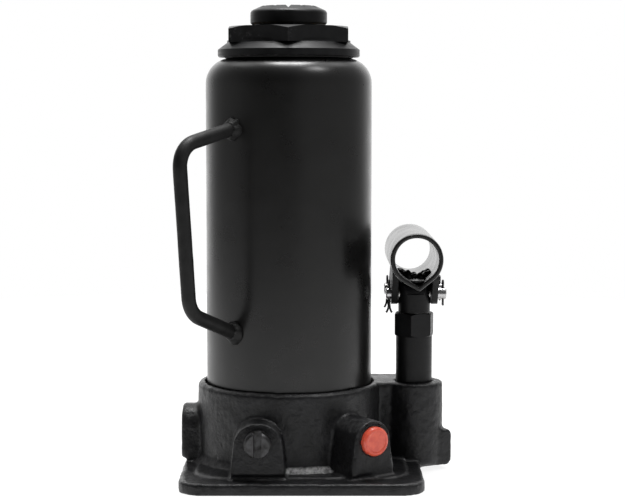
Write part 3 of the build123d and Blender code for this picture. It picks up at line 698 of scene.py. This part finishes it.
def weld_bead(name, start, away, seed):
    """A lumpy bead that climbs from the tank's wall onto the rod: start is on the rod's axis
    inside the wall, and away points along the rod."""
    side = away.cross(Vector((0, 0, 1))).normalized()
    up = side.cross(away).normalized()
    verts = []
    for row, (radius, rise) in enumerate(BEAD_PROFILE):
        hidden = row in (0, len(BEAD_PROFILE) - 1)
        for k in range(BEAD_SIDES):
            swing = 2 * math.pi * k / BEAD_SIDES
            out = side * math.cos(swing) + up * math.sin(swing)
            ripple = 0.10 * math.sin(swing * 8 + seed + rise * 0.5)
            swell = 0.8 * noise.noise(out * 1.9 + Vector((seed, row * 0.15, 0)))
            spot = start + out * (radius + (0 if hidden else ripple + swell)) * MM
            lift = rise + (0 if hidden else 0.5 * noise.noise(out * 2.3 + Vector((0, seed, rise))))
            verts.append(spot + away * (reach_to_wall(spot, away) + lift * MM))
    return piece_from(name, verts, grid_faces(len(BEAD_PROFILE), BEAD_SIDES, close_rows=True))


def weld_beads():
    """Both welds of the carrying handle."""
    beads = []
    for seed, (near, far) in enumerate((HANDLE_CORNERS[:2], HANDLE_CORNERS[:1:-1])):
        start = in_handle_plane(*near)
        away = (in_handle_plane(*far) - start).normalized()
        beads.append(weld_bead(f"bead_{seed}", start, away, 2.3 + 5.1 * seed))
    piece = joined("handle_weld_beads", beads)
    smooth(piece, 180)
    return finish_piece(piece, "handle_welds")


# ---------------------------------------------------------------- ram and screw

THREAD_PITCH = 5.0
THREAD_DEPTH = 1.7
THREAD_CREST = 13.8
THREAD_RUNOUT = 1.2
THREAD_SIDES = 96
ROWS_PER_TURN = 12
SPIGOT_LENGTH = 9.0


def cut(piece, height, keep_above):
    """Cuts a piece at a height, closes the cut, and keeps one side of it."""
    bm = bmesh.new()
    bm.from_mesh(piece.data)
    everything = bm.verts[:] + bm.edges[:] + bm.faces[:]
    bmesh.ops.bisect_plane(bm, geom=everything, plane_co=(0, 0, height), plane_no=(0, 0, 1),
                           clear_inner=keep_above, clear_outer=not keep_above)
    open_edges = [edge for edge in bm.edges if edge.is_boundary]
    bmesh.ops.triangle_fill(bm, edges=open_edges, use_beauty=True)
    bmesh.ops.recalc_face_normals(bm, faces=bm.faces)
    bm.to_mesh(piece.data)
    bm.free()
    return piece


def saddle():
    """The grooved head of the extension screw."""
    piece = cut(cad_copy("extension_screw", "grooved_saddle"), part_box("ram")[1].z, True)
    soften(piece, 0.5)
    return finish_piece(piece, "extension_screw")


def thread_radius(phase, to_end):
    """The thread's radius at a phase of its pitch. It dies away over the last bit before an end."""
    ramp = min(1.0, max(0.0, (abs(phase - 0.5) * 2 - 0.28) / 0.44))
    radius = THREAD_CREST - THREAD_DEPTH * ramp
    if to_end >= THREAD_RUNOUT:
        return radius
    fading = 1 - max(0.0, to_end) / THREAD_RUNOUT
    return min(radius, THREAD_CREST - THREAD_DEPTH * fading)


def screw_thread():
    """The screw's threaded shank: rows of points follow the helix, so that the crests are crisp."""
    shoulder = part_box("extension_screw")[0].z / MM + SPIGOT_LENGTH
    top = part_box("ram")[1].z / MM + 0.6
    rows = int((top - shoulder) / THREAD_PITCH * ROWS_PER_TURN) + ROWS_PER_TURN
    verts = []
    for row in range(rows + 1):
        for k in range(THREAD_SIDES):
            turn = k / THREAD_SIDES
            height = shoulder + (row / ROWS_PER_TURN + turn - 1) * THREAD_PITCH
            phase = (row / ROWS_PER_TURN) % 1.0
            radius = thread_radius(phase, min(height - shoulder, top - height))
            height = min(max(height, shoulder), top)
            swing = 2 * math.pi * turn
            verts.append(Vector((radius * math.cos(swing), radius * math.sin(swing), height)) * MM)
    faces = grid_faces(rows + 1, THREAD_SIDES, close_columns=False)
    for row in range(rows - ROWS_PER_TURN):
        last = (row + 1) * THREAD_SIDES - 1
        first = (row + ROWS_PER_TURN) * THREAD_SIDES
        faces.append((last, first, first + THREAD_SIDES, last + THREAD_SIDES))
    return piece_from("threaded_shank", verts, faces)


def spigot():
    """The plain foot of the screw, with the groove for its clip."""
    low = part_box("extension_screw")[0].z / MM
    top = low + SPIGOT_LENGTH + 0.2
    corners = [
        (0, low, 0), (8, low, 0.5), (8, low + 0.6, 0), (6.9, low + 0.6, 0), (6.9, low + 1.9, 0),
        (8, low + 1.9, 0), (8, top, 0), (0, top, 0),
    ]
    return lathe("spigot", corners, segments=64)


def threaded_screw():
    """The part of the extension screw that is inside the ram."""
    piece = joined("threaded_screw", [screw_thread(), spigot()])
    smooth(piece, 40)
    return finish_piece(piece, "extension_screw")


# ---------------------------------------------------------------- pump and lever

def softened_parts():
    """The machined and stamped parts whose CAD shape only needs its edges eased."""
    widths = {
        "pump_cylinder": 0.35, "bracket_ears": 0.45, "left_link_plate": 0.4,
        "right_link_plate": 0.4, "release_screw": 0.3, "side_port_plug": 0.3, "plunger_pin": 0.2,
        "fulcrum_pin": 0.2, "link_foot_pin": 0.2, "link_foot_clips": 0.15, "ram": 0.3,
        "pressure_cylinder": 0.3,
    }
    for node, width in widths.items():
        piece = cad_copy(node, node + "_finished")
        soften(piece, width)
        finish_piece(piece, node)


def plunger():
    """The pump's plunger: a ground stem, and a head with the same black finish as the cylinder."""
    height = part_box("pump_cylinder")[1].z + 0.45 * MM
    stem = cut(cad_copy("pump_plunger", "plunger_stem"), height, False)
    head = cut(cad_copy("pump_plunger", "plunger_head"), height, True)
    soften(head, 0.5)
    finish_piece(stem, "pump_plunger")
    finish_piece(head, "pump_plunger", slot="black_steel")


SOCKET_WALL = 2.2 * MM
SOCKET_EDGE = 0.45 * MM
SOCKET_SIDES = 120
SOCKET_STATIONS = 46
KEEL_LENGTH = 25.0 * MM
KEEL_FADE = 9.0 * MM
KEEL_LEAN = math.radians(4.5)


def teardrop(radius, drop, angle):
    """The distance from the centre to a circle with a keel below it, at an angle from straight down."""
    if drop <= radius:
        return radius
    lean = math.acos(radius / drop)
    off = abs((angle + math.pi) % (2 * math.pi) - math.pi)
    return radius / math.cos(lean - off) if off < lean else radius


def lever_socket():
    """The tube that takes the pump handle: pinched to a keel at its mouth, round behind."""
    front, rear = SOCKET_LOW.y, SOCKET_HIGH.y
    drop = SOCKET_Z - SOCKET_LOW.z
    inner = SOCKET_RADIUS - SOCKET_WALL
    stations = [front + (rear - front) * k / SOCKET_STATIONS for k in range(SOCKET_STATIONS + 1)]
    rings = [(y, SOCKET_RADIUS, drop, 1) for y in stations]
    rings += [(y, inner, drop * inner / SOCKET_RADIUS, -1) for y in reversed(stations)]
    verts = []
    for y, radius, keel, side in rings:
        inset = side * 0.6 * max(0.0, SOCKET_EDGE - min(y - front, rear - y))
        radius -= inset
        keel -= inset
        fade = min(1.0, max(0.0, (y - front - KEEL_LENGTH + KEEL_FADE) / KEEL_FADE))
        fade = fade * fade * (3 - 2 * fade)
        here = keel + (radius - keel) * fade
        for k in range(SOCKET_SIDES):
            swing = 2 * math.pi * k / SOCKET_SIDES
            c, s = math.cos(swing), math.sin(swing)
            dent = 1 + lumps((s * 0.02, y, c * 0.02), 14.0, 2) * 0.006
            reach = teardrop(radius, here, swing - KEEL_LEAN) * dent
            verts.append((SOCKET_X + reach * s, y, SOCKET_Z - reach * c))
    piece = piece_from("lever_socket", verts, grid_faces(len(rings), SOCKET_SIDES, close_rows=True))
    smooth(piece, 40)
    soften(piece, 0.4, 2, 50)
    return finish_piece(piece, "handle_socket")


def rough_bar(name, path, radius, seed, sides=18):
    """A lumpy run of weld along a path."""
    def lumpy(point, station):
        ends = min(1.0, 8 * min(station, 1 - station) + 0.35)
        return ends * (1 + 0.22 * math.sin(station * len(path) * 0.9 + seed) + 0.3 * lumps(point, 2.4, 2))

    return tube(name, path, radius, sides, lumpy)


TONGUE_Z = SOCKET_Z - 10.6 * MM
# Runs of weld along the tube: x from its axis, y of the middle, length, radius and rise.
WELD_RUNS = (
    (-7.0, -12.0, 18.0, 1.7, 2.4), (-5.4, -14.0, 14.0, 2.0, 0.9), (-3.2, -15.0, 12.0, 2.1, 0.2),
    (-0.2, -13.0, 15.0, 2.0, 0.1), (2.8, -15.0, 12.0, 1.9, 0.1), (5.2, -13.0, 16.0, 1.9, 1.0),
    (6.8, -11.0, 16.0, 1.5, 2.0),
)
# Knobs of weld that stand up from the runs: x from the tube's axis, y and height.
WELD_KNOBS = ((-3.4, -16.0, 4.2), (0.0, -16.0, 2.4), (5.4, -15.0, 2.2))


def socket_welds():
    """The lumpy weld inside the tube, over the tongue that closes the keel off."""
    runs = []
    for k, (x, y, length, radius, rise) in enumerate(WELD_RUNS):
        across, height = SOCKET_X + x * MM, TONGUE_Z + rise * MM
        path = [Vector((across, (y + length * (s / 20 - 0.5)) * MM, height)) for s in range(21)]
        runs.append(rough_bar(f"inner_{k}", path, radius * MM, 3.0 * k))
    for k, (x, y, top) in enumerate(WELD_KNOBS):
        path = [Vector((SOCKET_X + x * MM, y * MM, TONGUE_Z + s * top * MM / 5)) for s in range(6)]
        runs.append(rough_bar(f"knob_{k}", path, 1.6 * MM, k * 1.3))
    runs.append(tongue())
    piece = joined("socket_weld_lumps", runs)
    smooth(piece, 40)
    return finish_piece(piece, "handle_socket", replaces=False)


def tongue():
    """The flat strip that closes the keel off from the round part of the tube."""
    half, thick = 3.9 * MM, 0.45 * MM
    front, rear = SOCKET_LOW.y + 3.5 * MM, SOCKET_LOW.y + 24.0 * MM
    corners = [(x, y, z) for x in (-half, half) for y in (front, rear) for z in (-thick, thick)]
    verts = [(SOCKET_X + x, y, TONGUE_Z + z) for x, y, z in corners]
    faces = [(0, 1, 3, 2), (4, 6, 7, 5), (0, 4, 5, 1), (2, 3, 7, 6), (0, 2, 6, 4), (1, 5, 7, 3)]
    piece = piece_from("tongue", verts, faces)
    soften(piece, 0.25)
    return applied(piece)


# ---------------------------------------------------------------- split pins and the cap

PIN_WIRE = 0.52 * MM
PIN_EYE = 1.42
PIN_REACH = 13.4 * MM


def split_pin(name, spot, legs_turn, legs_end):
    """A split pin of bent wire: an eye above, a doubled shank through the pin, and two legs below,
    whose spread is turned legs_turn degrees from the YZ plane."""
    turn = math.radians(legs_turn)
    spread = Vector((-math.sin(turn), math.cos(turn), 0))
    leg_height = (legs_end - 3.8) * 0.4
    leg = []
    for k in range(6):
        out = 1.5 - 1.1 * (k / 5) ** 0.7
        leg.append(spread * out + Vector((0, 0, leg_height * k / 5 - legs_end)))
    shank = [Vector((0, 0.42, -3.3 + 0.9 * k)) for k in range(8)]
    eye = []
    for k in range(21):
        swing = math.radians(-66 + 312 * k / 20)
        eye.append(Vector((0, PIN_EYE * math.cos(swing), 5.0 + PIN_EYE * math.sin(swing))))
    mirror = Matrix.Diagonal((-1, -1, 1))
    path = leg + shank + eye + [mirror @ point for point in reversed(leg + shank)]
    return tube(name, [spot + point * MM for point in path], PIN_WIRE, 12)


def split_pins():
    """The four split pins under the socket: long legs at the tank's side, short ones outside."""
    pieces = []
    for pin in ("plunger_pin", "fulcrum_pin"):
        for side, legs_turn, legs_end in ((-1, 70, 9.6), (1, 0, 5.6)):
            spot = centre(pin) + Vector((side * PIN_REACH, 0, 0))
            pieces.append(split_pin(f"{pin}_{side}", spot, legs_turn, legs_end))
    piece = joined("lever_split_pins", pieces)
    smooth(piece, 60)
    return finish_piece(piece, "pin_cotters")


CAP_HALF = 2.85 * MM


def safety_cap():
    """The plastic cap of the overload valve: a rounded rim round a slightly sunk face."""
    face = centre("safety_cap") + CAP_AXIS * CAP_HALF
    corners = [
        (0, -5.5, 0), (6.9, -5.5, 0), (6.95, -1.0, 0.9), (6.1, 0.0, 0.9), (5.3, 0.0, 0.6),
        (4.8, -0.25, 0.6), (0, -0.15, 0),
    ]
    piece = lathe("red_cap", corners, origin=face, axis=CAP_AXIS, segments=96, step=0.6)
    smooth(piece, 60)
    return finish_piece(piece, "safety_cap")


# ---------------------------------------------------------------- building it

def finish_cad_nodes():
    """Gives every CAD node its slot's finish, and so the ones that are carried over as they are."""
    for node, cad in frame["nodes"].items():
        cad.data.materials.clear()
        cad.data.materials.append(FINISHES[SLOT_OF[node]])


cast_foot()
reservoir()
filler_plug()
nut()
carry_handle()
weld_beads()
saddle()
threaded_screw()
softened_parts()
plunger()
lever_socket()
socket_welds()
split_pins()
safety_cap()
finish_cad_nodes()


# ---------------------------------------------------------------- floor, light and camera

FLOOR_RADIUS = 0.78
FLOOR_SIDES = 96
FLOOR_DROP = 0.02 * MM
LAMP_AIM = Vector((0, 0, 0.1))
CAMERA_PLACE = Vector((0.0117, -0.845, 0.183))
CAMERA_AIM = Vector((0.0117, 0.0, 0.1095))
# The greys that the jack reflects, by a direction's x in front of it and by its y behind it.
FRONT_STOPS = (
    (-1.0, 0.30), (-0.90, 0.20), (-0.80, 0.09), (-0.50, 0.05), (0.05, 0.06), (0.25, 0.16),
    (0.45, 0.28), (1.0, 0.30),
)
BACK_STOPS = (
    (-1.0, 0.28), (0.2, 0.28), (0.55, 0.38), (0.70, 0.75), (0.80, 1.15), (0.90, 1.5), (1.0, 1.7),
)


def floor_finish():
    """A pale floor that is lit from within, so that only a faint contact shadow shows."""
    f = Finish("pale_floor", (0.3, 0.3, 0.3), 0.8, specular=0.0)
    f.color(f.blend(f.noise(60.0, 2.0), (0.30, 0.30, 0.30), (0.29, 0.29, 0.29)))
    f.shader.inputs["Emission Color"].default_value = (1, 1, 1, 1)
    f.shader.inputs["Emission Strength"].default_value = 0.86
    return f.material


def studio_floor():
    """The pale disc that the jack stands on."""
    swings = [2 * math.pi * k / FLOOR_SIDES for k in range(FLOOR_SIDES)]
    verts = [(FLOOR_RADIUS * math.cos(a), FLOOR_RADIUS * math.sin(a), -FLOOR_DROP) for a in swings]
    floor = piece_from("studio_floor", verts, [tuple(range(FLOOR_SIDES))])
    floor.data.materials.append(floor_finish())


def softbox(name, place, width, height, radiance):
    """A rectangular area light of the given radiance, which shines at the jack."""
    light = bpy.data.lights.new(name, "AREA")
    light.shape = "RECTANGLE"
    light.size, light.size_y = width, height
    light.energy = radiance * math.pi * width * height
    lamp = bpy.data.objects.new(name, light)
    lamp.location = place
    lamp.rotation_euler = (LAMP_AIM - Vector(place)).to_track_quat("-Z", "Y").to_euler()
    bpy.context.scene.collection.objects.link(lamp)


def ramp(tree, value, stops):
    """A grey ramp over a value between -1 and 1."""
    level = tree.nodes.new("ShaderNodeMapRange")
    tree.links.new(value, level.inputs["Value"])
    level.inputs["From Min"].default_value = -1.0
    node = tree.nodes.new("ShaderNodeValToRGB")
    tree.links.new(level.outputs[0], node.inputs[0])
    elements = node.color_ramp.elements
    for k, (place, grey) in enumerate(stops):
        stop = elements[k] if k < 2 else elements.new((place + 1) / 2)
        stop.position = (place + 1) / 2
        stop.color = (grey, grey, grey, 1)
    return node.outputs["Color"]


def surroundings(tree):
    """The colour that the jack reflects: the front's ramp, blended into the back's at its sides."""
    coords = tree.nodes.new("ShaderNodeTexCoord")
    split = tree.nodes.new("ShaderNodeSeparateXYZ")
    tree.links.new(coords.outputs["Generated"], split.inputs[0])
    front = ramp(tree, split.outputs["X"], FRONT_STOPS)
    back = ramp(tree, split.outputs["Y"], BACK_STOPS)
    behind = tree.nodes.new("ShaderNodeMapRange")
    tree.links.new(split.outputs["Y"], behind.inputs["Value"])
    behind.inputs["From Min"].default_value = -0.15
    behind.inputs["From Max"].default_value = 0.30
    blend = tree.nodes.new("ShaderNodeMix")
    blend.data_type = "RGBA"
    tree.links.new(behind.outputs[0], blend.inputs["Factor"])
    tree.links.new(front, blend.inputs[6])
    tree.links.new(back, blend.inputs[7])
    return blend.outputs[2]


def studio_world():
    """White to the eye. For the jack's reflections it is dark in front, with a broad pale panel on
    the right, and grows brighter round the sides towards the back."""
    world = bpy.data.worlds.new("studio")
    bpy.context.scene.world = world
    world.use_nodes = True
    tree = world.node_tree
    tree.nodes.clear()
    out = tree.nodes.new("ShaderNodeOutputWorld")
    seen, around = (tree.nodes.new("ShaderNodeBackground") for _ in range(2))
    mix = tree.nodes.new("ShaderNodeMixShader")
    path = tree.nodes.new("ShaderNodeLightPath")
    tree.links.new(path.outputs["Is Camera Ray"], mix.inputs[0])
    tree.links.new(around.outputs[0], mix.inputs[1])
    tree.links.new(seen.outputs[0], mix.inputs[2])
    tree.links.new(mix.outputs[0], out.inputs["Surface"])
    seen.inputs["Color"].default_value = (1, 1, 1, 1)
    tree.links.new(surroundings(tree), around.inputs["Color"])


def studio_camera():
    """The camera stands in front, a little above the tank's middle, and looks slightly down."""
    data = bpy.data.cameras.new("camera")
    data.lens = 98.0
    data.sensor_width = 36.0
    data.clip_start = 0.01
    camera = bpy.data.objects.new("camera", data)
    camera.location = CAMERA_PLACE
    camera.rotation_euler = (CAMERA_AIM - CAMERA_PLACE).to_track_quat("-Z", "Y").to_euler()
    bpy.context.scene.collection.objects.link(camera)
    bpy.context.scene.camera = camera


studio_floor()
studio_world()
softbox("overhead_panel", (0.0, 0.30, 0.95), 1.2, 0.5, 1.6)
softbox("overhead_lamp", (0.01, 0.08, 0.90), 0.30, 0.20, 34.0)
softbox("side_lamp", (0.45, -0.25, 1.00), 0.22, 0.22, 16.0)
studio_camera()
bpy.context.scene.view_settings.view_transform = "Standard"
